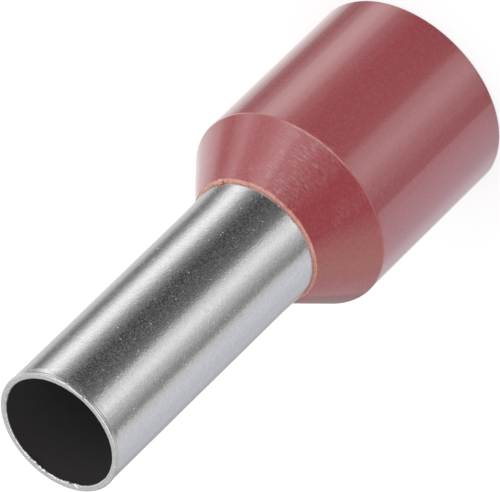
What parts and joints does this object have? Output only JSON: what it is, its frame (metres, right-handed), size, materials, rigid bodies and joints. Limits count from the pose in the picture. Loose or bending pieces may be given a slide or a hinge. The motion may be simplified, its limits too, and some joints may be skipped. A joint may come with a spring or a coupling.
{
  "type": "wire ferrule",
  "caption": "Insulated wire ferrule: a thin tinned copper sleeve held by a moulded red plastic collar with a sloping shoulder and a funnel-shaped wire entry.",
  "frame": {"origin": "centre of the wire entry's rim, on which the ferrule stands", "axes": "+Z along the common axis of collar and sleeve, from the wire entry towards the sleeve's mouth; X and Y are alike"},
  "size_m": [0.0082, 0.0082, 0.0216],
  "materials": {
    "tinned_copper": "satin tin plate over copper, drawn along the tube",
    "red_plastic": "dusty red moulded polyamide with a soft sheen"
  },
  "bodies": {
    "root": {"sleeve": "tinned_copper", "collar": "red_plastic"}
  },
  "joints": []
}
